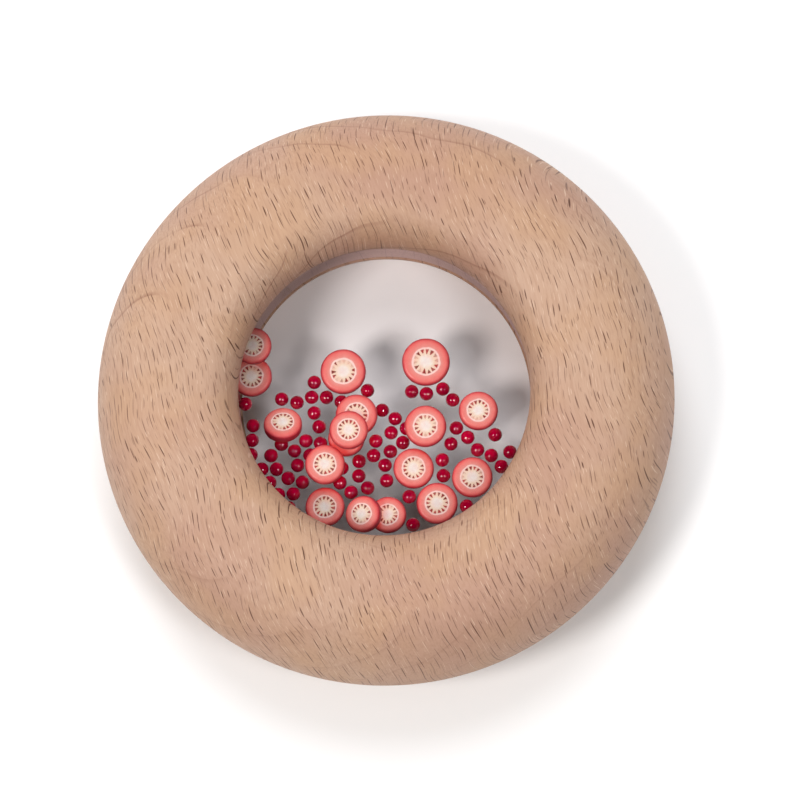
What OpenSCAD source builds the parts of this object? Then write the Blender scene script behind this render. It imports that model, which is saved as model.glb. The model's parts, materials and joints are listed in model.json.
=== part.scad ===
// Wooden ring rattle: two glued beech half rings hold a clear, round chamber in which
// fruit-slice discs and glass balls slide and rattle. Millimetres, +Z up, origin on the
// table under the ring's centre. The slices and balls lie on the rear window.

/* [Wooden ring] */
// Outer diameter of the ring
ring_od = 90; // [78:1:110]
// Thickness of the ring, which the outer edge rounds over in full
ring_t = 24; // [23:0.5:28]
// Width of the wooden band from the opening to the outer edge
band_w = 22.4; // [20:0.2:26]
// Straight wall of the opening beside each window, before the rim rounds away
lip_h = 0.6; // [0.3:0.1:1.2]

/* [Chamber] */
// Thickness of each clear window
window_t = 1.5; // [1.2:0.1:1.8]
// How far the wooden lips cover the edge of each window
lip_cover = 4.2; // [3.8:0.1:4.8]
// Wall of the clear ring that keeps the windows apart
chamber_wall = 1.2; // [0.8:0.1:1.5]
// Glue gap between the wood and the clear parts
glue_gap = 0.1; // [0.05:0.05:0.2]
// Drop that is left above the highest stack of slices
free_play = 0.8; // [0.6:0.1:1.6]

/* [Filling] */
// Thickness of a fruit slice
slice_t = 2.0; // [1.8:0.1:2.4]
// Rounding of a slice's rim
slice_round = 0.7; // [0.4:0.1:0.85]
// Diameter of a glass ball
ball_d = 2.2; // [1.8:0.1:2.4]
// Gap that is left between loose pieces, and between them and the chamber
gap = 0.12; // [0.08:0.02:0.16]

/* [Hidden] */
mid_z = ring_t / 2;
edge_r = ring_t / 2;
open_r = ring_od / 2 - band_w;
crown_r = ring_od / 2 - edge_r;

// Heights inside the chamber: balls, then a slice on the balls, then a slice on that one
on_balls = ball_d + gap;
on_slice = on_balls + slice_t + gap;
chamber_h = gap + on_slice + slice_t + free_play;
floor_z = mid_z - chamber_h / 2;
ceiling_z = mid_z + chamber_h / 2;
window_r = open_r + lip_cover;
seat_r = window_r + glue_gap;
chamber_r = window_r - chamber_wall;
front_seat_z = ceiling_z + window_t;
lip_round = ring_t - front_seat_z - lip_h;

// The filling's layout is drawn for a chamber of this radius, and grows or shrinks with it
layout_r = 25.6;
fill_scale = chamber_r / layout_r;

// Fruit slices: x, y, diameter, height above the chamber's floor, tilt, heading of the raised edge
SLICES = [
    [-20.8, 7.7, 5.9, on_balls, 0, 0],
    [-21.0, 3.1, 6.4, 0, 0, 0],
    [-6.7, 4.05, 7.2, 0, 0, 0],
    [6.2, 5.7, 7.6, 0, 0, 0],
    [14.5, -1.95, 6.2, 0, 0, 0],
    [6.35, -4.75, 6.6, on_balls, 0, 0],
    [4.55, -11.15, 6.4, 0, 0, 0],
    [8.3, -16.6, 6.5, 0, 0, 0],
    [13.7, -12.45, 6.4, 0, 0, 0],
    [-5.5, -5.7, 6.1, on_slice, 0, 0],
    [-6.0, -6.5, 5.8, 0, 0, 0],
    [-4.4, -3.1, 6.6, on_balls, 0, 0],
    [-15.9, -4.65, 6.1, 0, 30, -90],
    [-9.15, -10.95, 6.3, on_balls, 0, 0],
    [-9.1, -17.35, 6.2, 0, 0, 0],
    [-3.0, -18.6, 5.8, 1.0, 20, 0],
    [0.7, -18.5, 5.8, 0, 0, 0],
];

// Glass balls lie in short rows: x and y of the first ball, heading, bend at each ball, count.
// Each group has a name, its rows, and the slices (by number) that may lie above its balls.
BALLS = [
    ["balls_upper_left", [[-16.2, -0.85, -4, 0, 2], [-11.55, -0.05, 1, 0, 2], [-11.1, 2.35, 0, 0, 1]], []],
    ["balls_middle_left", [[-11.1, -2.55, 6, 0, 2], [-10.3, -4.7, 0, 0, 1]], []],
    ["balls_lower_left", [[-12.55, -6.8, -130, 0, 2], [-13.1, -10.75, 0, 0, 1], [-14.95, -12.9, 0, 0, 2],
        [-13.8, -14.95, 0, 0, 1]], []],
    ["balls_left_wall", [[-21.9, -1.15, 0, 0, 1], [-20.6, -4.65, -93, 0, 3], [-17.7, -9.35, -62, 0, 2],
        [-18.9, -11.5, 0, 0, 1]], []],
    ["balls_lower_wall", [[-17.8, -13.6, -47, 5, 4]], []],
    ["balls_centre", [[1.55, -3.3, -105, 0, 2], [-1.5, -6.85, -95, 0, 2], [0.9, -8.5, -110, 0, 2],
        [0.4, -13.1, 0, 0, 1], [-3.95, -10.1, -90, 0, 2], [-1.75, -12.1, -110, 0, 2]], []],
    ["balls_upper_right", [[4.05, 1.0, -6, 0, 2], [8.85, 1.55, -48, 0, 2], [9.95, -2.6, 0, 0, 1]], []],
    ["balls_right", [[11.1, -4.7, -39, 0, 2], [10.3, -7.2, 0, 0, 1], [9.0, -9.75, 22, 0, 2],
        [9.2, -12.3, 0, 0, 1]], []],
    ["balls_right_wall", [[17.15, -5.7, 0, 0, 1], [14.45, -8.1, -22, 0, 2], [19.5, -8.4, 0, 0, 1],
        [18.2, -10.7, 0, 0, 1]], []],
    ["balls_foot", [[4.0, -15.6, 0, 0, 1], [-5.1, -15.0, 0, 0, 1], [12.9, -17.0, 0, 0, 1],
        [4.6, -20.0, 0, 0, 1]], []],
    ["balls_under_slice_01", [[-21.7, 7.6, 58, 0, 2]], [1]],
    ["balls_under_slice_06", [[2.95, -4.6, -92, 0, 2], [5.7, -4.9, -18, 0, 2]], [6]],
    ["balls_under_slice_12", [[-6.9, -0.6, 0, 0, 1], [-2.85, 1.1, 0, 0, 1], [-0.5, -2.0, 0, 0, 1],
        [-2.6, -3.9, 0, 0, 1]], [10, 12]],
    ["balls_under_slice_13", [[-16.1, -7.55, 0, 0, 1]], [13]],
    ["balls_under_slice_14", [[-10.2, -6.95, 0, 0, 1], [-11.9, -8.75, 0, 0, 1], [-6.6, -11.2, 0, 0, 1],
        [-9.2, -11.2, 0, 0, 1], [-6.4, -13.3, 0, 0, 1]], [14]],
];

function slice_at(i) = [SLICES[i][0], SLICES[i][1]] * fill_scale;
function slice_r(i) = SLICES[i][2] / 2 * fill_scale;

// Half the height that a rounded disc takes up when it is tilted
function half_height(r, tilt) =
    (r - slice_round) * sin(tilt) + (slice_t / 2 - slice_round) * cos(tilt) + slice_round;

// Centres of the balls in one row: each heading turns by the bend
function row_points(p, heading, bend, n) =
    n == 0 ? [] : concat([p], row_points(
        p + (ball_d + gap) * [cos(heading), sin(heading)], heading + bend, bend, n - 1));

function group_points(g) = [
    for (row = BALLS[g][1])
        each row_points([row[0], row[1]] * fill_scale, row[2], row[3], row[4])
];

// True where a value is in a list
function has(list, x) = len([for (v = list) if (v == x) v]) > 0;
function sum(v, i = 0) = i == len(v) ? [0, 0] : v[i] + sum(v, i + 1);

// How far a ball at p must roll to be clear of a round obstacle at c
function push(p, c, clear) = norm(p - c) < clear ? (p - c) / norm(p - c) * (clear - norm(p - c)) : [0, 0];

// What keeps a ball of group g away: every slice that isn't above it, and the balls already placed
function obstacles(g, kept) = concat(
    [for (i = [0:len(SLICES) - 1])
        if (!has(BALLS[g][2], i + 1)) [slice_at(i), slice_r(i) + ball_d / 2 + gap]],
    [for (q = kept) [q[0], ball_d + gap]]
);
function inside(p) = let (reach = chamber_r - ball_d / 2 - gap) norm(p) > reach ? p / norm(p) * reach : p;

// A ball rolls clear of what it touches, a step at a time
roll_steps = 40;
function roll(p, stops, n = roll_steps) =
    n == 0 ? p : roll(inside(p + sum([for (s = stops) push(p, s[0], s[1])])), stops, n - 1);
function has_room(p, stops) = len([for (s = stops) if (norm(p - s[0]) < s[1] - gap / 4) s]) == 0;

// Takes the balls one by one, and leaves out any that finds no room
function settle(wanted, i = 0, kept = []) =
    i == len(wanted) ? kept
    : let (
        g = wanted[i][1],
        stops = obstacles(g, kept),
        p = roll(wanted[i][0], stops)
    )
    settle(wanted, i + 1, has_room(p, stops) ? concat(kept, [[p, g]]) : kept);

WANTED = [for (g = [0:len(BALLS) - 1]) for (p = group_points(g)) [p, g]];
SETTLED = settle(WANTED);

function two_digits(n) = str(n < 10 ? "0" : "", n);
function slice_name(n) = str("slice_", two_digits(n));

$fn = 96;

// Section of the upper half of the wooden band: a round outer edge, a narrow flat crown
// and a rounded inner rim that ends in a short straight wall
module band_section() {
    difference() {
        union() {
            intersection() {
                translate([crown_r, 0]) circle(r = edge_r);
                translate([crown_r, 0]) square([edge_r, edge_r]);
            }
            translate([open_r + lip_round, 0]) square([crown_r - open_r - lip_round, edge_r]);
            translate([open_r, 0]) square([lip_round, edge_r - lip_round]);
            intersection() {
                translate([open_r + lip_round, edge_r - lip_round]) circle(r = lip_round);
                translate([open_r, edge_r - lip_round]) square([lip_round, lip_round]);
            }
        }
        translate([0, -1]) square([seat_r, front_seat_z - mid_z + 1]);
    }
}

module front_ring_half() {
    color("burlywood") translate([0, 0, mid_z]) rotate_extrude() band_section();
}

module rear_ring_half() {
    color("tan") translate([0, 0, mid_z]) mirror([0, 0, 1]) rotate_extrude() band_section();
}

module window_disc(z) {
    translate([0, 0, z]) cylinder(r = window_r, h = window_t);
}

module front_window() {
    color([0.92, 0.96, 0.97, 0.35]) window_disc(ceiling_z);
}

module rear_window() {
    color([0.92, 0.96, 0.97, 0.35]) window_disc(floor_z - window_t);
}

// Clear ring between the windows
module chamber_ring() {
    color([0.92, 0.96, 0.97, 0.35])
        translate([0, 0, floor_z])
            difference() {
                cylinder(r = window_r, h = chamber_h);
                translate([0, 0, -1]) cylinder(r = chamber_r, h = chamber_h + 2);
            }
}

// One half of a slice's section: flat faces and a rounded rim
module slice_section(r) {
    flat = slice_t - 2 * slice_round;
    square([r - slice_round, slice_t / 2]);
    translate([r - slice_round, 0]) square([slice_round, flat / 2]);
    intersection() {
        translate([r - slice_round, flat / 2]) circle(r = slice_round);
        translate([r - slice_round, flat / 2]) square(slice_round);
    }
}

module fruit_slice(n) {
    s = SLICES[n - 1];
    r = slice_r(n - 1);
    tilt = s[4];
    heading = s[5];
    color("salmon")
        translate([slice_at(n - 1)[0], slice_at(n - 1)[1], floor_z + gap + s[3] + half_height(r, tilt)])
            rotate([0, 0, heading])
                rotate([0, -tilt, 0])
                    rotate_extrude() {
                        slice_section(r);
                        mirror([0, 1]) slice_section(r);
                    }
}

module ball_group(g) {
    color("crimson")
        for (ball = SETTLED)
            if (ball[1] == g)
                translate([ball[0][0], ball[0][1], floor_z + gap + ball_d / 2]) sphere(d = ball_d, $fn = 32);
}

front_ring_half();
rear_ring_half();
front_window();
rear_window();
chamber_ring();
for (n = [1:len(SLICES)])
    fruit_slice(n);
for (g = [0:len(BALLS) - 1])
    ball_group(g);
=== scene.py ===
"""Beech ring rattle with a clear chamber of clay fruit slices and glass balls, dressed around its CAD frame."""

import json
import logging
import math
from dataclasses import dataclass
from enum import Enum

import bmesh
import bpy
import numpy as np
from mathutils import Matrix, Vector


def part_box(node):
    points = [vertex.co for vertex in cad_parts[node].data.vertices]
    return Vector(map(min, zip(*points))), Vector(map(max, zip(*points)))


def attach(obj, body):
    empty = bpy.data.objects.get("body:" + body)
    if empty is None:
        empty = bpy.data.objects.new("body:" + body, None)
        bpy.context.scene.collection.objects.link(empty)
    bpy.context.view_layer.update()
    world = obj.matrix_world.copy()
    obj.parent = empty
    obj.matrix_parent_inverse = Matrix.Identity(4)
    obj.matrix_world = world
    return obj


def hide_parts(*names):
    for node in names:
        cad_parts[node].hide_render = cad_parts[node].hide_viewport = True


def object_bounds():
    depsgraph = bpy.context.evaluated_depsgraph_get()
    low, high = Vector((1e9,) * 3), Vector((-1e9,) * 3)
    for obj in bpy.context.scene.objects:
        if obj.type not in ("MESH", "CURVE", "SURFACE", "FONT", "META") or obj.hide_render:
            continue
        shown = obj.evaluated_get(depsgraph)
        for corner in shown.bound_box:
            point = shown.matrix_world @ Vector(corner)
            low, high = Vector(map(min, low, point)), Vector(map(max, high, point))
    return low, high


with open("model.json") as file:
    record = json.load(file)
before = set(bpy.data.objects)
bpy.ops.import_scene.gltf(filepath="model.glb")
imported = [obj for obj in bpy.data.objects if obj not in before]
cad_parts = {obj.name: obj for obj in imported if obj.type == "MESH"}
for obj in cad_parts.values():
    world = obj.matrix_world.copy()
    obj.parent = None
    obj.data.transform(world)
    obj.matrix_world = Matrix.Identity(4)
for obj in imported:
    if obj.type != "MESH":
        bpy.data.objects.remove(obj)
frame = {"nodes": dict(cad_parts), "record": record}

LOG = logging.getLogger("rattle")
CAD_LOW, CAD_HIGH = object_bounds()
MM = 0.001
TURN = 2 * math.pi
# Blender's names for the nodes that are used most, a map's eased ends, and a mix of two colours
MATH = "ShaderNodeMath"
VECTOR = "ShaderNodeVectorMath"
NOISE = "ShaderNodeTexNoise"
RANGE = "ShaderNodeMapRange"
MIX = "ShaderNodeMix"
SMOOTH = {"interpolation_type": "SMOOTHSTEP"}
COLOUR = {"data_type": "RGBA"}
# The body that each CAD node moves with
BODY_OF = {node: body for body, nodes in frame["record"]["behaviour"]["bodies"].items() for node in nodes}


class Half(Enum):
    """The two glued halves of the wooden ring, with the side of the middle plane that each lies on."""

    FRONT = 1
    REAR = -1


# Small tools


def linear(hex_code: str) -> tuple[float, float, float, float]:
    """Turns an sRGB colour into linear light.

    Args:
        hex_code: Six hex digits, such as "D9AF93".

    Returns:
        Red, green, blue and an alpha of 1.
    """
    parts = [int(hex_code[i:i + 2], 16) / 255 for i in (0, 2, 4)]
    light = [c / 12.92 if c <= 0.04045 else ((c + 0.055) / 1.055) ** 2.4 for c in parts]
    return (*light, 1.0)


def plug(tree: bpy.types.NodeTree, node: bpy.types.Node, inputs: dict | tuple) -> None:
    """Fills or links a node's inputs.

    Args:
        tree: The node tree that holds the node.
        node: The node.
        inputs: Values by input name or number, or in the order of the inputs in use. A socket is linked,
            and so is a node, whose first output in use is meant.
    """
    in_use = [socket for socket in node.inputs if socket.enabled]
    named = inputs if isinstance(inputs, dict) else {}
    pairs = [(node.inputs[key], value) for key, value in named.items()] or list(zip(in_use, inputs))
    for target, value in pairs:
        if isinstance(value, bpy.types.Node):
            value = next(socket for socket in value.outputs if socket.enabled)
        if isinstance(value, bpy.types.NodeSocket):
            tree.links.new(value, target)
        else:
            target.default_value = value


def add(tree: bpy.types.NodeTree, kind: str, inputs: dict | tuple = (), **settings: object) -> bpy.types.Node:
    """Adds a node with its settings, and fills or links its inputs.

    Args:
        tree: The node tree that takes the node.
        kind: The node's Blender type name.
        inputs: Its values, as plug takes them.
        **settings: Properties of the node itself.

    Returns:
        The new node.
    """
    node = tree.nodes.new(kind)
    for name, value in settings.items():
        setattr(node, name, value)
    plug(tree, node, inputs)
    return node


def new_material(name: str) -> tuple[bpy.types.Material, bpy.types.NodeTree, bpy.types.Node]:
    """Starts a node material.

    Args:
        name: What the finish is.

    Returns:
        The material, its tree and its main shader.
    """
    material = bpy.data.materials.new(name)
    material.use_nodes = True
    tree = material.node_tree
    return material, tree, tree.nodes["Principled BSDF"]


def pass_light(material: bpy.types.Material, tint: tuple[float, float, float], share: float) -> None:
    """Lets lamps shine through a material, so that it casts a tinted shadow.

    Args:
        material: The finished material.
        tint: Colour of the light that comes through.
        share: How much of it comes through.
    """
    tree = material.node_tree
    path = add(tree, "ShaderNodeLightPath")
    through = add(tree, "ShaderNodeBsdfTransparent", {"Color": (*(c * share for c in tint), 1.0)})
    surface = add(tree, "ShaderNodeMixShader", (path.outputs["Is Shadow Ray"], tree.nodes["Principled BSDF"],
                                                through))
    plug(tree, tree.nodes["Material Output"], {"Surface": surface})


def new_object(name: str, mesh: bpy.types.Mesh) -> bpy.types.Object:
    """Puts a mesh in the scene as an object at the origin."""
    piece = bpy.data.objects.new(name, mesh)
    bpy.context.scene.collection.objects.link(piece)
    return piece


def node_points(name: str) -> np.ndarray:
    """Reads where a CAD node's vertices are, in metres, as rows of x, y and z."""
    mesh = frame["nodes"][name].data
    flat = np.empty(len(mesh.vertices) * 3)
    mesh.vertices.foreach_get("co", flat)
    return flat.reshape(-1, 3)


def start_shape_tree(name: str, inputs: dict[str, str]) -> tuple[bpy.types.NodeTree, bpy.types.Node]:
    """Starts a Geometry Nodes tree that takes a geometry and named inputs.

    Args:
        name: The tree's name.
        inputs: Each input's name and socket type.

    Returns:
        The tree and its input node.
    """
    tree = bpy.data.node_groups.new(name, "GeometryNodeTree")
    tree.interface.new_socket("Geometry", in_out="INPUT", socket_type="NodeSocketGeometry")
    tree.interface.new_socket("Geometry", in_out="OUTPUT", socket_type="NodeSocketGeometry")
    for label, kind in inputs.items():
        tree.interface.new_socket(label, in_out="INPUT", socket_type=kind)
    return tree, tree.nodes.new("NodeGroupInput")


def end_shape_tree(tree: bpy.types.NodeTree, source: bpy.types.Node, shape: bpy.types.NodeSocket) -> None:
    """Ends a Geometry Nodes tree in Realize Instances and Set Material.

    Args:
        tree: The tree.
        source: Its input node, which has a Material input.
        shape: The finished geometry.
    """
    real = add(tree, "GeometryNodeRealizeInstances", {"Geometry": shape})
    dressed = add(tree, "GeometryNodeSetMaterial", {"Geometry": real, "Material": source.outputs["Material"]})
    add(tree, "NodeGroupOutput", {"Geometry": dressed})


def run_shape_tree(piece: bpy.types.Object, tree: bpy.types.NodeTree, values: dict[str, object]) -> None:
    """Runs a Geometry Nodes tree on a piece and keeps the result as its plain mesh.

    Args:
        piece: The object whose mesh goes in and comes back changed.
        tree: The tree.
        values: Each named input's value.
    """
    modifier = piece.modifiers.new(tree.name, "NODES")
    modifier.node_group = tree
    for item in tree.interface.items_tree:
        if item.item_type == "SOCKET" and item.in_out == "INPUT" and item.name in values:
            modifier[item.identifier] = values[item.name]
    graph = bpy.context.evaluated_depsgraph_get()
    shaped = bpy.data.meshes.new_from_object(piece.evaluated_get(graph))
    piece.modifiers.remove(modifier)
    piece.data = shaped


def settle_piece(piece: bpy.types.Object, nodes: list[str]) -> None:
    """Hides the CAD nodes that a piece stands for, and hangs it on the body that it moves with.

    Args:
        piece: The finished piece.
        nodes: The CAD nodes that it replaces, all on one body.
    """
    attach(piece, BODY_OF[nodes[0]])
    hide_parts(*nodes)


# Finishes


@dataclass(frozen=True)
class BeechFinish:
    """Beech, sawn flat, turned to a round band, sanded and waxed: matt, with short dark rays and fine fibre.

    The pattern is solid. Rays are sheets that run from the pith outwards and show as short dashes on a
    flat-sawn face; growth rings are wide, nearly flat layers. Each half is cut from its own board.
    """

    name: str
    # Where this half lies in its board, in mm
    board_shift: tuple[float, float, float]
    # Length and width of a ray's dash, and the spacing along and across the grain, in mm
    ray_long: float = 2.3
    ray_wide: float = 0.125
    ray_pitch_along: float = 3.0
    ray_pitch_across: float = 1.1
    # The tree's pith, sideways and downwards from the ring's middle, and a year's growth, in mm
    pith_side: float = 16.0
    pith_depth: float = 120.0
    year_width: float = 4.2
    # Width, length and depth of a fibre streak, how far a ray leans in a mm outwards, and how far and over
    # what length the grain sways, in mm
    streak_size: tuple[float, float, float] = (0.3, 5.0, 0.3)
    ray_lean: float = 0.02
    sway_depth: float = 7.0
    sway_length: float = 25.0
    # Size of a blotch, of a change of hue, of the growth rings' drift and of a patch where their lines show,
    # and where along the grain those lines fade, in mm
    blotch_size: float = 28.6
    hue_size: float = 11.1
    drift_length: float = 22.2
    patch_size: float = 16.7
    line_fade: tuple[float, float] = (6.0, -22.0)
    # Height of the middle plane, the heights above it between which the growth lines fade out towards the
    # crown, and the height and distance from the axis that bound the glued seats, in mm
    middle: float = 12.0
    crown_fade: tuple[float, float] = (10.2, 11.8)
    glue_height: float = 5.3
    glue_reach: float = 27.5
    # Mauve-grey painted over the seats: painted shade, pink bounce light and reflection, as the seats show through
    # the windows
    seat_shade_colour: str = "C0A4A2"
    light: str = "BA9982"
    yellow: str = "B99374"
    pink: str = "B18B77"
    deep: str = "A27D66"
    ray_colour: str = "4E2C1E"
    fleck_colour: str = "D1B49D"
    year_colour: str = "835947"

    def grain_axes(self) -> tuple[Vector, Vector, Vector]:
        """Gives the board's directions.

        Returns:
            Along the fibre, across the ray sheets, and from the pith outwards.
        """
        fibre = Vector((0.316, -0.949, 0.0)).normalized()
        across = Vector((0.93, 0.31, 0.2)).normalized()
        outward = across.cross(fibre).normalized()
        return fibre, across, outward if outward.z > 0 else -outward

    def place(self, tree: bpy.types.NodeTree) -> tuple[bpy.types.Node, bpy.types.Node]:
        """Gives the distance from the ring's axis, and the height above or below its middle plane, in mm."""
        where = add(tree, "ShaderNodeTexCoord").outputs["Object"]
        in_mm = add(tree, VECTOR, (where, (1000, 1000, 1000)), operation="MULTIPLY")
        flat = add(tree, VECTOR, (in_mm, (1, 1, 0)), operation="MULTIPLY")
        upward = add(tree, MATH, (add(tree, "ShaderNodeSeparateXYZ", (in_mm,)).outputs["Z"], self.middle),
                     operation="SUBTRACT")
        return add(tree, VECTOR, (flat,), operation="LENGTH"), add(tree, MATH, (upward,), operation="ABSOLUTE")

    def seat_shade_mask(self, tree: bpy.types.NodeTree) -> bpy.types.Node:
        """Finds the seats of the windows, which take a mauve-grey of painted shade, pink bounce light and
        reflection: 1 there and 0 elsewhere.
        """
        reach, height = self.place(tree)
        low = add(tree, MATH, (height, self.glue_height), operation="LESS_THAN")
        near = add(tree, MATH, (reach, self.glue_reach), operation="LESS_THAN")
        return add(tree, MATH, (low, near), operation="MULTIPLY")

    def build(self) -> bpy.types.Material:
        """Builds the material."""
        material, tree, shader = new_material(self.name)
        where = add(tree, "ShaderNodeTexCoord").outputs["Object"]
        in_mm = add(tree, VECTOR, (where, (1000, 1000, 1000)), operation="MULTIPLY")
        board = add(tree, VECTOR, (in_mm, self.board_shift), operation="ADD")
        sway = add(tree, NOISE, {"Vector": board, "Scale": 1 / self.sway_length, "Detail": 2.0})
        centred = add(tree, VECTOR, (sway.outputs["Color"], (0.5, 0.5, 0.5)), operation="SUBTRACT")
        swayed = add(tree, VECTOR, (centred, (self.sway_depth,) * 3, board), operation="MULTIPLY_ADD")
        fibre, across, outward = [add(tree, VECTOR, (swayed, axis), operation="DOT_PRODUCT")
                                  for axis in self.grain_axes()]
        rays, tone = self.dashes(tree, fibre, across, outward, 1.0, 0.0)
        small_rays, small_tone = self.dashes(tree, fibre, across, outward, 0.56, 31.0)
        years, year_lines = self.year_masks(tree, board, across, outward)
        streaks = self.streaks(tree, fibre, across, outward)
        blotch = add(tree, NOISE, {"Vector": board, "Scale": 1 / self.blotch_size, "Detail": 3.0})
        hue = add(tree, NOISE, {"Vector": swayed, "Scale": 1 / self.hue_size, "Detail": 2.0})
        flecks = add(tree, MATH, (small_rays, add(tree, RANGE, (small_tone, 0.55, 0.8), **SMOOTH)),
                     operation="MULTIPLY")
        faint = add(tree, MATH, (small_rays, add(tree, RANGE, (small_tone, 0.5, 0.2), **SMOOTH)),
                    operation="MULTIPLY")
        dark = add(tree, MATH, (rays, add(tree, MATH, (tone, 0.6, 0.4), operation="MULTIPLY_ADD")),
                   operation="MULTIPLY")
        colour = linear(self.light)
        for mask, strength, over in (
                (add(tree, RANGE, (blotch, 0.35, 0.68), **SMOOTH), 1.0, self.pink),
                (add(tree, RANGE, (hue, 0.4, 0.65), **SMOOTH), 0.6, self.yellow),
                (years, 0.12, self.deep), (streaks, 0.4, self.deep), (flecks, 0.7, self.fleck_colour),
                (year_lines, 0.5, self.year_colour), (faint, 0.42, self.ray_colour), (dark, 0.9, self.ray_colour),
                # The seats' mauve-grey is painted shade, bounce light and reflection
                (self.seat_shade_mask(tree), 0.75, self.seat_shade_colour)):
            share = add(tree, MATH, (mask, strength), operation="MULTIPLY")
            colour = add(tree, MIX, (share, colour, linear(over)), **COLOUR)
        rough = add(tree, MATH, (streaks, 0.1, 0.55), operation="MULTIPLY_ADD")
        height = add(tree, MATH, (rays, -0.6, add(tree, MATH, (streaks, -0.5), operation="MULTIPLY")),
                     operation="MULTIPLY_ADD")
        bump = add(tree, "ShaderNodeBump", {"Height": height, "Strength": 0.5, "Distance": 0.03 * MM})
        plug(tree, shader, {"Base Color": colour, "Roughness": rough, "Normal": bump, "IOR": 1.5,
                            "Specular IOR Level": 0.35})
        return material

    def dashes(self, tree: bpy.types.NodeTree, fibre: object, across: object, outward: object,
               size: float, shift: float) -> tuple[bpy.types.Node, bpy.types.NodeSocket]:
        """Draws ray dashes: one spindle in each cell of a stretched pattern, no two alike.

        Args:
            tree: The material's tree.
            fibre: Distance along the grain in mm.
            across: Distance across the ray sheets in mm.
            outward: Distance from the pith in mm.
            size: How large the dashes are beside the finish's own sizes.
            shift: Moves the pattern, so that two layers of it differ, in mm.

        Returns:
            1 in a dash and 0 beside it, and a random number for each dash.
        """
        wide, long = self.ray_pitch_across * size, self.ray_pitch_along * size
        lean = add(tree, MATH, (outward, self.ray_lean, across), operation="MULTIPLY_ADD")
        spot = add(tree, "ShaderNodeCombineXYZ", (add(tree, MATH, (lean, shift), operation="ADD"), fibre))
        cell = add(tree, VECTOR, (spot, (wide, long, 1.0)), operation="DIVIDE")
        cells = add(tree, "ShaderNodeTexVoronoi", {"Vector": cell, "Scale": 1.0, "Randomness": 0.85},
                    voronoi_dimensions="2D")
        off = add(tree, VECTOR, (cell, cells.outputs["Position"]), operation="SUBTRACT")
        off_mm = add(tree, VECTOR, (off, (wide, long, 0.0)), operation="MULTIPLY")
        chance = add(tree, "ShaderNodeSeparateColor", (cells.outputs["Color"],))
        half_wide = add(tree, MATH, (chance.outputs[1], self.ray_wide * size * 0.5, self.ray_wide * size * 0.35),
                        operation="MULTIPLY_ADD")
        half_long = add(tree, MATH, (chance.outputs[0], self.ray_long * size * 0.45, self.ray_long * size * 0.25),
                        operation="MULTIPLY_ADD")
        half_size = add(tree, "ShaderNodeCombineXYZ", (half_wide, half_long, 1.0))
        share = add(tree, VECTOR, (off_mm, half_size), operation="DIVIDE")
        spindle = add(tree, VECTOR, (share, share), operation="DOT_PRODUCT")
        return add(tree, RANGE, (spindle, 1.3, 0.3), **SMOOTH), chance.outputs[2]

    def year_masks(self, tree: bpy.types.NodeTree, board: object, across: object,
                   outward: object) -> tuple[bpy.types.Node, bpy.types.Node]:
        """Draws the growth rings: a slow darkening through the year, then a thin dark line.

        Args:
            tree: The material's tree.
            board: Place in the board in mm.
            across: Distance across the ray sheets in mm.
            outward: Distance from the ring's middle away from the pith in mm.

        Returns:
            How late in the year the wood grew, and the line at the year's end.
        """
        side = add(tree, MATH, (across, self.pith_side), operation="SUBTRACT")
        depth = add(tree, MATH, (outward, self.pith_depth), operation="ADD")
        radius = add(tree, VECTOR, (add(tree, "ShaderNodeCombineXYZ", (side, depth)),), operation="LENGTH")
        drift = add(tree, NOISE, {"Vector": board, "Scale": 1 / self.drift_length, "Detail": 2.0})
        count = add(tree, MATH, (drift, 0.6, add(tree, MATH, (radius, self.year_width), operation="DIVIDE")),
                    operation="MULTIPLY_ADD")
        late = add(tree, MATH, (count,), operation="FRACT")
        lines = add(tree, MATH, (add(tree, RANGE, (late, 0.90, 0.98), **SMOOTH),
                                 add(tree, RANGE, (late, 1.0, 0.985), **SMOOTH)), operation="MULTIPLY")
        patch = add(tree, NOISE, {"Vector": board, "Scale": 1 / self.patch_size})
        far = add(tree, VECTOR, (board, self.grain_axes()[0]), operation="DOT_PRODUCT")
        fade = add(tree, MATH, (add(tree, RANGE, (far, *self.line_fade), **SMOOTH), 0.65, 0.35),
                   operation="MULTIPLY_ADD")
        low, high = self.crown_fade
        shown = lines
        for mask in (fade, add(tree, RANGE, (self.place(tree)[1], high, low), **SMOOTH),
                     add(tree, RANGE, (patch, 0.3, 0.6), **SMOOTH)):
            shown = add(tree, MATH, (shown, mask), operation="MULTIPLY")
        return add(tree, MATH, (late, 2.5), operation="POWER"), shown

    def streaks(self, tree: bpy.types.NodeTree, fibre: object, across: object, outward: object) -> bpy.types.Node:
        """Draws fine fibre streaks.

        Args:
            tree: The material's tree.
            fibre: Distance along the grain in mm.
            across: Distance across the ray sheets in mm.
            outward: Distance from the pith in mm.

        Returns:
            A mask from 0 to 1.
        """
        spot = add(tree, "ShaderNodeCombineXYZ", (across, fibre, outward))
        strand = add(tree, VECTOR, (spot, self.streak_size), operation="DIVIDE")
        grain = add(tree, NOISE, {"Vector": strand, "Scale": 1.0, "Detail": 3.0})
        return add(tree, RANGE, (grain, 0.38, 0.72), **SMOOTH)


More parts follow.
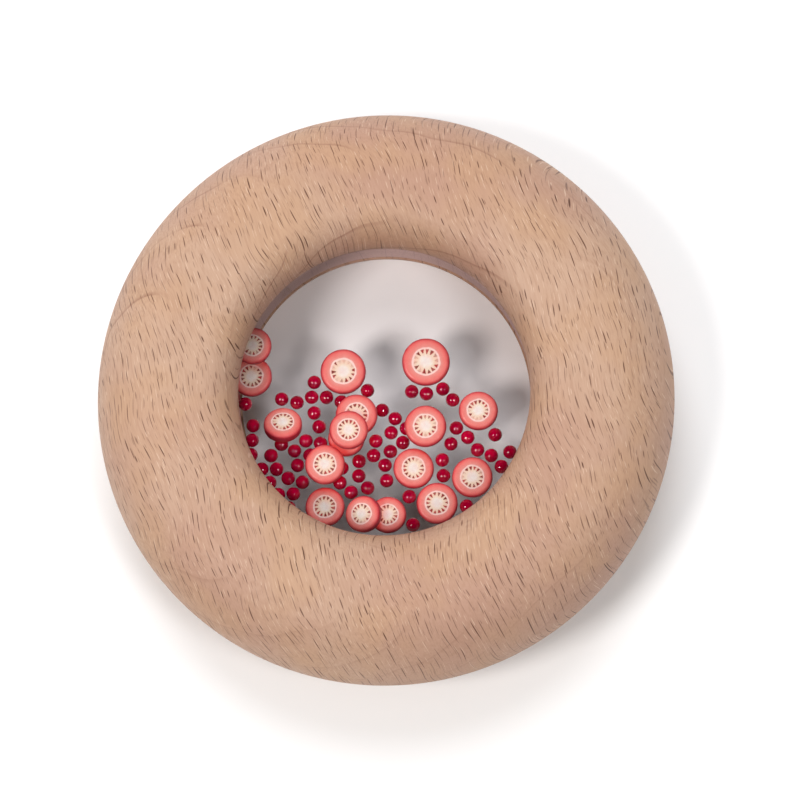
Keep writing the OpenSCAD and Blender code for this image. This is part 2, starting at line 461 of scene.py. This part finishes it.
@dataclass(frozen=True)
class AcrylicFinish:
    """Clear cast acrylic, polished: glossy, all but colourless, and it lets light through to what is behind it;
    its faint pink tint is painted bounce light from the wood and the red balls.
    """

    name: str = "clear_cast_acrylic"
    # Faint pink tint: painted bounce light, the pink that the wood and the red balls throw on the table behind the
    # windows
    tint: str = "FFFEFE"
    ior: float = 1.49
    roughness: float = 0.0

    def build(self) -> bpy.types.Material:
        """Builds the material."""
        material, tree, shader = new_material(self.name)
        plug(tree, shader, {"Base Color": linear(self.tint), "IOR": self.ior, "Transmission Weight": 1.0,
                            "Roughness": self.roughness})
        path = add(tree, "ShaderNodeLightPath")
        through = add(tree, "ShaderNodeBsdfTransparent", {"Color": linear(self.tint)})
        surface = shader
        for ray in ("Is Glossy Ray", "Is Diffuse Ray", "Is Shadow Ray"):
            surface = add(tree, "ShaderNodeMixShader", (path.outputs[ray], surface, through))
        plug(tree, tree.nodes["Material Output"], {"Surface": surface})
        return material


@dataclass(frozen=True)
class ClayFinish:
    """Polymer clay cane, sliced and tumbled: satin, a coral rind, a cream line and dark pips round a pale core.

    The pattern is read from the piece's own disc map, in which the rim lies at 1. Its numbers are shares of
    the slice's radius.
    """

    name: str = "coral_polymer_clay"
    pip_count: int = 14
    pip_inner: float = 0.29
    pip_outer: float = 0.52
    wobble: float = 0.1
    seed_step: float = 7.3
    roughness: float = 0.42
    # Colours from the core to the rim
    ring_colours: tuple[tuple[float, str], ...] = (
        (0.0, "DCD4CE"), (0.2, "DFD5CC"), (0.33, "DECBB4"), (0.49, "DDBCA8"), (0.53, "E2C8BE"),
        (0.585, "E6C8C0"), (0.61, "D68C84"), (0.70, "D77F76"), (0.80, "DA736C"), (0.90, "D6625F"),
        (0.965, "C63E48"), (1.0, "A42838"))

    def build(self) -> bpy.types.Material:
        """Builds the material."""
        material, tree, shader = new_material(self.name)
        disc = add(tree, "ShaderNodeUVMap", uv_map="disc").outputs[0]
        seed = add(tree, "ShaderNodeAttribute", attribute_name="cut_seed").outputs["Fac"]
        shift = add(tree, VECTOR, ((0.0, 0.0, self.seed_step), seed), operation="SCALE")
        spot = add(tree, VECTOR, (disc, shift), operation="ADD")
        wobble = add(tree, NOISE, {"Vector": spot, "Scale": 2.6, "Detail": 3.0})
        centred = add(tree, VECTOR, (wobble.outputs["Color"], (0.5, 0.5, 0.5)), operation="SUBTRACT")
        drawn = add(tree, VECTOR, (centred, (self.wobble, self.wobble, 0.0), disc), operation="MULTIPLY_ADD")
        part = add(tree, "ShaderNodeSeparateXYZ", (drawn,))
        reach = add(tree, VECTOR, (drawn,), operation="LENGTH")
        rings = add(tree, "ShaderNodeValToRGB", (reach,))
        stops = rings.color_ramp.elements
        while len(stops) < len(self.ring_colours):
            stops.new(1.0)
        for stop, (place, hex_code) in zip(stops, self.ring_colours):
            stop.position, stop.color = place, linear(hex_code)
        pips = self.pips(tree, part, reach, seed)
        mottle = add(tree, NOISE, {"Vector": spot, "Scale": 5.0, "Detail": 4.0})
        colour = add(tree, MIX, (pips, rings, self.pip_colour(tree, spot)), **COLOUR)
        tone = add(tree, RANGE, (mottle, 0.3, 0.75), **SMOOTH)
        colour = add(tree, MIX, (add(tree, MATH, (tone, 0.22), operation="MULTIPLY"), colour, linear("F0948C")),
                     **COLOUR, blend_type="MULTIPLY")
        grain = add(tree, NOISE, {"Vector": spot, "Scale": 9.0, "Detail": 3.0})
        bump = add(tree, "ShaderNodeBump", {"Height": grain, "Strength": 0.35, "Distance": 0.06 * MM})
        rough = add(tree, MATH, (tone, 0.12, self.roughness - 0.06), operation="MULTIPLY_ADD")
        plug(tree, shader, {
            "Base Color": colour, "Roughness": rough, "Normal": bump, "IOR": 1.5, "Subsurface Weight": 0.12,
            "Subsurface Radius": (1.0, 0.35, 0.25), "Subsurface Scale": 0.5 * MM})
        pass_light(material, (1.0, 0.3, 0.32), 0.85)
        return material

    def pips(self, tree: bpy.types.NodeTree, part: bpy.types.Node, reach: object, seed: object) -> bpy.types.Node:
        """Draws the dark pips: wedges that narrow inwards, each with its own length and strength.

        Args:
            tree: The material's tree.
            part: The drawn place, split into x and y.
            reach: Distance from the slice's centre.
            seed: The slice's own number.

        Returns:
            1 in a pip and 0 beside it.
        """
        angle = add(tree, MATH, (part.outputs[1], part.outputs[0]), operation="ARCTAN2")
        around = add(tree, MATH, (angle, self.pip_count / TURN, self.pip_count * 2.0), operation="MULTIPLY_ADD")
        cell = add(tree, MATH, (add(tree, MATH, (around,), operation="FLOOR"), self.pip_count), operation="MODULO")
        odds = add(tree, "ShaderNodeTexWhiteNoise", {"Vector": add(tree, "ShaderNodeCombineXYZ", (cell, seed))},
                   noise_dimensions="3D")
        chance = add(tree, "ShaderNodeSeparateColor", (odds.outputs["Color"],))
        across = add(tree, MATH, (add(tree, MATH, (around,), operation="FRACT"), 0.5), operation="SUBTRACT")
        side = add(tree, MATH, (across,), operation="ABSOLUTE")
        inner = add(tree, MATH, (chance.outputs[0], 0.09, self.pip_inner), operation="MULTIPLY_ADD")
        beyond = add(tree, MATH, (reach, inner), operation="SUBTRACT")
        whole = add(tree, MATH, (self.pip_outer, inner), operation="SUBTRACT")
        length = add(tree, MATH, (beyond, whole), operation="DIVIDE")
        least = add(tree, MATH, (chance.outputs[1], 0.12, 0.05), operation="MULTIPLY_ADD")
        width = add(tree, MATH, (length, 0.22, least), operation="MULTIPLY_ADD")
        wedge = add(tree, RANGE, (add(tree, MATH, (side, width), operation="SUBTRACT"), 0.05, -0.05), **SMOOTH)
        start = add(tree, RANGE, (length, -0.05, 0.2), **SMOOTH)
        stop = add(tree, RANGE, (reach, self.pip_outer + 0.02, self.pip_outer - 0.02), **SMOOTH)
        shown = add(tree, MATH, (add(tree, RANGE, (chance.outputs[2], 0.1, 0.22), **SMOOTH), 0.85, 0.15),
                    operation="MULTIPLY_ADD")
        return add(tree, MATH, (add(tree, MATH, (wedge, start), operation="MULTIPLY"),
                                add(tree, MATH, (stop, shown), operation="MULTIPLY")), operation="MULTIPLY")

    def pip_colour(self, tree: bpy.types.NodeTree, spot: object) -> bpy.types.Node:
        """Gives the pips their browns and brick reds, by place in the slice."""
        patch = add(tree, NOISE, {"Vector": spot, "Scale": 3.0})
        return add(tree, MIX, (add(tree, RANGE, (patch, 0.4, 0.62), **SMOOTH), linear("7A2823"), linear("A83034")),
                   **COLOUR)


@dataclass(frozen=True)
class BallFinish:
    """Cast glass balls, deep crimson right through: hard gloss, with light glowing a little inside."""

    name: str = "crimson_glass_ball"
    dark: str = "8A0022"
    bright: str = "AE002E"
    roughness: float = 0.04

    def build(self) -> bpy.types.Material:
        """Builds the material."""
        material, tree, shader = new_material(self.name)
        where = add(tree, "ShaderNodeTexCoord").outputs["Object"]
        cloud = add(tree, NOISE, {"Vector": where, "Scale": 0.4 / MM, "Detail": 2.0})
        colour = add(tree, MIX, (add(tree, RANGE, (cloud, 0.35, 0.7), **SMOOTH), linear(self.dark),
                                 linear(self.bright)), **COLOUR)
        speck = add(tree, NOISE, {"Vector": where, "Scale": 2.2 / MM})
        rough = add(tree, MATH, (speck, 0.04, self.roughness - 0.02), operation="MULTIPLY_ADD")
        plug(tree, shader, {
            "Base Color": colour, "Roughness": rough, "IOR": 1.6, "Specular IOR Level": 1.0,
            "Subsurface Weight": 0.15, "Subsurface Radius": (1.0, 0.12, 0.15), "Subsurface Scale": 0.8 * MM})
        pass_light(material, (1.0, 0.15, 0.2), 0.8)
        return material


@dataclass(frozen=True)
class PaperFinish:
    """Seamless white studio paper: matt, even and pale."""

    name: str = "studio_paper"
    colour: str = "F4F4F4"

    def build(self) -> bpy.types.Material:
        """Builds the material."""
        material, tree, shader = new_material(self.name)
        where = add(tree, "ShaderNodeTexCoord").outputs["Object"]
        tooth = add(tree, NOISE, {"Vector": where, "Scale": 1.0 / MM})
        shade = add(tree, MIX, (add(tree, MATH, (tooth, 0.04), operation="MULTIPLY"), linear(self.colour),
                                linear("EDEDED")), **COLOUR)
        plug(tree, shader, {"Base Color": shade, "Roughness": 0.9, "Specular IOR Level": 0.1})
        return material


# Sub-assemblies


@dataclass
class BeechRing:
    """The wooden band, turned as two halves that are glued at the middle plane round the windows."""

    outer_r: float
    edge_r: float
    open_r: float
    seat_r: float
    seat_h: float
    lip_h: float = 0.6 * MM
    undercut: float = 0.3 * MM
    glue_chamfer: float = 0.05 * MM
    steps_around: int = 288
    steps_outer: int = 26
    steps_inner: int = 18

    @classmethod
    def from_frame(cls) -> "BeechRing":
        """Measures the ring on its CAD nodes."""
        points = node_points("front_ring_half")
        reach = np.hypot(points[:, 0], points[:, 1])
        middle = points[:, 2].min()
        mouth = points[reach < reach.min() + 0.02 * MM]
        window_low, window_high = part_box("front_window")
        flat = points[np.abs(points[:, 2] - mouth[:, 2].min()) < 0.01 * MM]
        return cls(outer_r=reach.max(), edge_r=points[:, 2].max() - middle, open_r=reach.min(),
                   seat_r=np.hypot(flat[:, 0], flat[:, 1]).max(), seat_h=window_high[2] - middle)

    def profile(self) -> list[tuple[float, float]]:
        """Draws the section of one half, from the glued face round the outside to the window's seat.

        Returns:
            Distance from the ring's axis and height above the glued face, in metres, for each corner.
        """
        crown_r = self.outer_r - self.edge_r
        lip_round = self.edge_r - self.seat_h - self.lip_h
        start = math.asin(self.glue_chamfer / self.edge_r)
        outer = [start + (math.pi / 2 - start) * i / self.steps_outer for i in range(self.steps_outer + 1)]
        inner = [math.pi / 2 * (1 + i / self.steps_inner) for i in range(self.steps_inner + 1)]
        return (
            [(self.outer_r - self.glue_chamfer, 0.0)]
            + [(crown_r + self.edge_r * math.cos(a), self.edge_r * math.sin(a)) for a in outer]
            + [(self.open_r + lip_round * (1 + math.cos(a)), self.edge_r - lip_round * (1 - math.sin(a)))
               for a in inner]
            + [(self.open_r, self.seat_h + self.undercut),
               (self.open_r + self.undercut, self.seat_h + self.undercut),
               (self.open_r + self.undercut, self.seat_h), (self.seat_r, self.seat_h), (self.seat_r, 0.0)])

    def sweep_tree(self) -> bpy.types.NodeTree:
        """Builds the tree that turns a section round the ring's axis."""
        tree, source = start_shape_tree("turned_band", {
            "Rail Radius": "NodeSocketFloat", "Steps": "NodeSocketInt", "Middle Height": "NodeSocketFloat",
            "Material": "NodeSocketMaterial"})
        section = add(tree, "GeometryNodeMeshToCurve", {"Mesh": source.outputs["Geometry"]})
        rail = add(tree, "GeometryNodeCurvePrimitiveCircle",
                   {"Radius": source.outputs["Rail Radius"], "Resolution": source.outputs["Steps"]})
        upright = add(tree, "GeometryNodeSetCurveNormal", {"Curve": rail}, mode="Z_UP")
        swept = add(tree, "GeometryNodeCurveToMesh", {"Curve": upright, "Profile Curve": section})
        lift = add(tree, "ShaderNodeCombineXYZ", {"Z": source.outputs["Middle Height"]})
        placed = add(tree, "GeometryNodeTransform", {"Geometry": swept, "Translation": lift})
        smooth = add(tree, "GeometryNodeSetShadeSmooth", {"Geometry": placed})
        end_shape_tree(tree, source, smooth.outputs[0])
        return tree

    def build_half(self, half: Half, tree: bpy.types.NodeTree, finish: BeechFinish) -> bpy.types.Object:
        """Turns one half of the ring.

        Args:
            half: Which half.
            tree: The sweep.
            finish: The half's wood.

        Returns:
            The finished piece.
        """
        rail_r = self.outer_r - self.edge_r
        corners = self.profile()
        mesh = bpy.data.meshes.new("band_section")
        mesh.from_pydata([(r - rail_r, -half.value * h, 0.0) for r, h in corners],
                         [(i, (i + 1) % len(corners)) for i in range(len(corners))], [])
        piece = new_object(f"beech_ring_{half.name.lower()}", mesh)
        run_shape_tree(piece, tree, {"Rail Radius": float(rail_r), "Steps": self.steps_around,
                                     "Middle Height": float(self.edge_r), "Material": finish.build()})
        work = bmesh.new()
        work.from_mesh(piece.data)
        bmesh.ops.remove_doubles(work, verts=work.verts, dist=1e-7)
        bmesh.ops.recalc_face_normals(work, faces=work.faces)
        work.to_mesh(piece.data)
        work.free()
        piece.data.set_sharp_from_angle(angle=math.radians(35))
        return piece

    def build(self) -> list[bpy.types.Object]:
        """Turns and dresses both halves."""
        tree = self.sweep_tree()
        woods = {Half.FRONT: BeechFinish("beech_front_half", (0.0, 0.0, 0.0)),
                 Half.REAR: BeechFinish("beech_rear_half", (83.0, 41.0, -37.0))}
        pieces = []
        for half in Half:
            piece = self.build_half(half, tree, woods[half])
            settle_piece(piece, [f"{half.name.lower()}_ring_half"])
            pieces.append(piece)
        return pieces


@dataclass
class ClearChamber:
    """The two windows and the ring between them, which the CAD shapes exactly."""

    nodes: tuple[str, ...] = ("front_window", "rear_window", "chamber_ring")

    def build(self) -> list[bpy.types.Object]:
        """Dresses the clear pieces."""
        acrylic = AcrylicFinish().build()
        pieces = [frame["nodes"][name] for name in self.nodes]
        for piece in pieces:
            piece.data.materials.clear()
            piece.data.materials.append(acrylic)
        return pieces


@dataclass
class FruitSlices:
    """The clay fruit slices, each cut by hand from a cane: a little uneven, with a rounded rim."""

    rim_round: float = 0.7 * MM
    steps_around: int = 72
    face_rings: int = 7
    rim_steps: int = 7
    unevenness: float = 0.1 * MM
    seed: int = 5

    def disc(self, radius: float, thickness: float) -> bpy.types.Mesh:
        """Makes a round slice in its own plane, with its disc map.

        Args:
            radius: Half the slice's width in metres.
            thickness: Its thickness in metres.

        Returns:
            The closed mesh.
        """
        flat = radius - self.rim_round
        half_flat = thickness / 2 - self.rim_round
        face = [(flat * i / self.face_rings, thickness / 2) for i in range(1, self.face_rings)]
        rim = [math.pi / 2 * i / self.rim_steps for i in range(self.rim_steps + 1)]
        upper = face + [(flat + self.rim_round * math.sin(a), half_flat + self.rim_round * math.cos(a))
                        for a in rim]
        section = upper + [(r, -h) for r, h in reversed(upper)]
        n = self.steps_around
        corners = [(r * math.cos(TURN * i / n), r * math.sin(TURN * i / n), h) for r, h in section
                   for i in range(n)]
        quads = [(k * n + i, (k + 1) * n + i, (k + 1) * n + (i + 1) % n, k * n + (i + 1) % n)
                 for k in range(len(section) - 1) for i in range(n)]
        top, bottom, last = len(corners), len(corners) + 1, (len(section) - 1) * n
        caps = [(i, (i + 1) % n, top) for i in range(n)]
        caps += [(last + (i + 1) % n, last + i, bottom) for i in range(n)]
        mesh = bpy.data.meshes.new("slice")
        mesh.from_pydata(corners + [(0, 0, thickness / 2), (0, 0, -thickness / 2)], [], quads + caps)
        disc_map = mesh.uv_layers.new(name="disc")
        for loop in mesh.loops:
            x, y, _ = mesh.vertices[loop.vertex_index].co
            disc_map.data[loop.index].uv = (x / radius, y / radius)
        mesh.shade_smooth()
        return mesh

    def cut_tree(self) -> bpy.types.NodeTree:
        """Builds the tree that makes a turned slice look cut by hand."""
        tree, source = start_shape_tree("hand_cut", {
            "Unevenness": "NodeSocketFloat", "Seed": "NodeSocketFloat", "Material": "NodeSocketMaterial"})
        place = add(tree, "GeometryNodeInputPosition")
        waves = add(tree, NOISE, {"Vector": place, "W": source.outputs["Seed"], "Scale": 0.28 / MM, "Detail": 1.0},
                    noise_dimensions="4D")
        centred = add(tree, VECTOR, (waves.outputs["Color"], (0.5, 0.5, 0.5)), operation="SUBTRACT")
        sized = add(tree, VECTOR, (centred, source.outputs["Unevenness"]), operation="SCALE")
        moved = add(tree, "GeometryNodeSetPosition", {"Geometry": source.outputs["Geometry"], "Offset": sized})
        end_shape_tree(tree, source, moved.outputs[0])
        return tree

    def lie(self, name: str) -> tuple[Matrix, float, float]:
        """Finds how a slice lies, from its CAD node.

        Args:
            name: The node.

        Returns:
            The place that carries a flat slice there, its radius and its thickness.
        """
        points = node_points(name)
        centre = (points.min(0) + points.max(0)) / 2
        normal = np.linalg.eigh(np.cov((points - centre).T))[1][:, 0]
        normal = normal if normal[2] > 0 else -normal
        along = (points - centre) @ normal
        radius = np.linalg.norm(points - centre - np.outer(along, normal), axis=1).max()
        turn = Vector((0, 0, 1)).rotation_difference(Vector(normal)).to_matrix().to_4x4()
        return Matrix.Translation(Vector(centre)) @ turn, float(radius), float(np.ptp(along))

    def build(self) -> list[bpy.types.Object]:
        """Cuts and dresses every slice."""
        tree, clay = self.cut_tree(), ClayFinish().build()
        chance = np.random.default_rng(self.seed)
        pieces = []
        for name in sorted(n for n in frame["nodes"] if n.startswith("slice_")):
            place, radius, thickness = self.lie(name)
            spin, number = chance.uniform(0, TURN), float(chance.uniform(1, 50))
            mesh = self.disc(radius - self.unevenness / 2, thickness - self.unevenness / 2)
            mesh.transform(place @ Matrix.Rotation(spin, 4, "Z"))
            piece = new_object(f"fruit_{name}", mesh)
            run_shape_tree(piece, tree, {"Unevenness": self.unevenness, "Seed": number, "Material": clay})
            own = piece.data.attributes.new("cut_seed", "FLOAT", "POINT")
            own.data.foreach_set("value", [number] * len(piece.data.vertices))
            settle_piece(piece, [name])
            pieces.append(piece)
        return pieces


@dataclass
class BallPile:
    """The crimson glass balls, in the groups in which they lie."""

    smoothness: int = 4
    unevenness: float = 0.02
    seed: int = 11

    def ball_tree(self) -> bpy.types.NodeTree:
        """Builds the tree that sets a ball at every point."""
        tree, source = start_shape_tree("balls_at_points", {
            "Ball Radius": "NodeSocketFloat", "Unevenness": "NodeSocketFloat", "Smoothness": "NodeSocketInt",
            "Seed": "NodeSocketInt", "Material": "NodeSocketMaterial"})
        points = add(tree, "GeometryNodeMeshToPoints", {"Mesh": source.outputs["Geometry"]})
        ball = add(tree, "GeometryNodeMeshIcoSphere",
                   {"Radius": source.outputs["Ball Radius"], "Subdivisions": source.outputs["Smoothness"]})
        smooth = add(tree, "GeometryNodeSetShadeSmooth", {"Geometry": ball})
        least = add(tree, MATH, (1.0, source.outputs["Unevenness"]), operation="SUBTRACT")
        size = add(tree, "FunctionNodeRandomValue", {"Seed": source.outputs["Seed"]}, data_type="FLOAT_VECTOR")
        span = add(tree, "ShaderNodeCombineXYZ", (source.outputs["Unevenness"],) * 3)
        floor = add(tree, "ShaderNodeCombineXYZ", (least,) * 3)
        shape = add(tree, VECTOR, (size, span, floor), operation="MULTIPLY_ADD")
        spread = add(tree, "GeometryNodeInstanceOnPoints", {"Points": points, "Instance": smooth, "Scale": shape})
        end_shape_tree(tree, source, spread.outputs[0])
        return tree

    def centres(self, name: str) -> tuple[list[Vector], float]:
        """Finds the balls of a CAD node.

        Args:
            name: The node.

        Returns:
            Each ball's centre and their common radius.
        """
        work = bmesh.new()
        work.from_mesh(frame["nodes"][name].data)
        bmesh.ops.remove_doubles(work, verts=work.verts, dist=0.001 * MM)
        left, found, radius = set(work.verts), [], 0.0
        while left:
            ball, edge = set(), [left.pop()]
            while edge:
                corner = edge.pop()
                ball.add(corner)
                near = [e.other_vert(corner) for e in corner.link_edges]
                edge += [v for v in near if v in left]
                left -= set(near)
            spots = np.array([v.co for v in ball])
            found.append(Vector((spots.min(0) + spots.max(0)) / 2))
            radius = max(radius, float(np.ptp(spots[:, 2]) / 2))
        work.free()
        return sorted(found, key=lambda c: (c.x, c.y)), radius

    def build(self) -> list[bpy.types.Object]:
        """Makes and dresses every group of balls."""
        tree, glass = self.ball_tree(), BallFinish().build()
        pieces = []
        for i, name in enumerate(sorted(n for n in frame["nodes"] if n.startswith("balls_"))):
            centres, radius = self.centres(name)
            mesh = bpy.data.meshes.new(name)
            mesh.from_pydata([tuple(c) for c in centres], [], [])
            piece = new_object(f"glass_{name}", mesh)
            run_shape_tree(piece, tree, {"Ball Radius": radius, "Unevenness": self.unevenness,
                                         "Smoothness": self.smoothness, "Seed": self.seed + i, "Material": glass})
            settle_piece(piece, [name])
            pieces.append(piece)
        return pieces


@dataclass
class Studio:
    """A white paper table, two small soft boxes beside the camera, a large one beyond and a white room."""

    paper_half_width: float = 2.0
    room_light: float = 0.33
    # Camera: leans from straight above towards the near edge and the right, its turn about its own axis, in
    # degrees, and its distance
    lean_near: float = 10.3
    lean_right: float = 2.5
    roll: float = 1.0
    camera_distance: float = 0.62
    # Share of the frame's width that the ring takes, and the frame's centre beside the ring's
    ring_share: float = 0.7212
    aim_right: float = 2.25 * MM
    aim_up: float = -0.33 * MM

    def lay_paper(self) -> bpy.types.Object:
        """Lays the paper under the rattle."""
        w = self.paper_half_width
        mesh = bpy.data.meshes.new("paper")
        mesh.from_pydata([(-w, -w, 0), (w, -w, 0), (w, w, 0), (-w, w, 0)], [], [(0, 1, 2, 3)])
        mesh.materials.append(PaperFinish().build())
        paper = new_object("studio_paper", mesh)
        return paper

    def hang_box(self, name: str, direction: tuple[float, float, float], distance: float, size: float,
                 watts: float, tint: str, mirrored: bool = True) -> None:
        """Hangs one soft box, aimed at the rattle.

        Args:
            name: The lamp's name.
            direction: From the rattle towards the lamp.
            distance: Metres between them.
            size: The box's side in metres.
            watts: Its power.
            tint: Its colour as hex.
            mirrored: Whether glossy surfaces show it.
        """
        lamp = bpy.data.lights.new(name, "AREA")
        lamp.shape, lamp.size, lamp.energy = "DISK", size, watts
        lamp.color = linear(tint)[:3]
        holder = bpy.data.objects.new(name, lamp)
        holder.visible_glossy = mirrored
        towards = Vector(direction).normalized()
        holder.location = towards * distance
        holder.rotation_euler = towards.to_track_quat("Z", "Y").to_euler()
        bpy.context.scene.collection.objects.link(holder)

    def light_room(self) -> None:
        """Lights the white room evenly."""
        world = bpy.data.worlds.new("white_room")
        world.use_nodes = True
        plug(world.node_tree, world.node_tree.nodes["Background"],
             {"Color": linear("FFFDFC"), "Strength": self.room_light})
        # The room is dark overhead, where the windows and balls would mirror it
        world.cycles_visibility.glossy = False
        bpy.context.scene.world = world

    def place_camera(self, ring_width: float, middle: float) -> None:
        """Sets the camera almost straight above, so that the ring takes its share of the frame.

        Args:
            ring_width: The ring's outer diameter in metres.
            middle: Height of the ring's middle plane in metres.
        """
        camera = bpy.data.cameras.new("camera")
        camera.sensor_width = 36.0
        camera.lens = camera.sensor_width * self.camera_distance * self.ring_share / ring_width
        holder = bpy.data.objects.new("camera", camera)
        near, aside = math.radians(self.lean_near), math.radians(self.lean_right)
        back = Vector((math.sin(aside), -math.sin(near), math.cos(near) * math.cos(aside))).normalized()
        aim = Vector((self.aim_right, self.aim_up, middle))
        right = Vector((0, 1, 0)).cross(back).normalized()
        turn = Matrix((right, back.cross(right), back)).transposed().to_4x4()
        turn = turn @ Matrix.Rotation(math.radians(self.roll), 4, "Z")
        holder.matrix_world = Matrix.Translation(aim + back * self.camera_distance) @ turn
        bpy.context.scene.collection.objects.link(holder)
        bpy.context.scene.camera = holder

    def build(self) -> None:
        """Sets up the table, the light and the camera."""
        self.lay_paper()
        self.light_room()
        # Two small boxes that glossy pieces mirror, and a large one that only lights the far side
        self.hang_box("left_box", (-0.50, -0.26, 0.85), 1.1, 0.34, 6.3, "FFFBF8")
        self.hang_box("right_box", (0.42, -0.26, 0.87), 1.1, 0.30, 2.8, "FFFFFF")
        self.hang_box("far_box", (-0.05, 0.62, 0.78), 1.3, 0.9, 12.0, "F8FBFF", mirrored=False)
        self.place_camera(CAD_HIGH.x - CAD_LOW.x, (CAD_HIGH.z + CAD_LOW.z) / 2)
        bpy.context.scene.view_settings.view_transform = "Standard"


def main() -> None:
    """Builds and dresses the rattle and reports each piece."""
    logging.basicConfig(level=logging.INFO, format="%(name)s: %(message)s")
    Studio().build()
    for assembly in (BeechRing.from_frame(), ClearChamber(), FruitSlices(), BallPile()):
        for piece in assembly.build():
            LOG.info("%s: %s, %d faces", type(assembly).__name__, piece.name, len(piece.data.polygons))


if __name__ == "__main__":
    main()
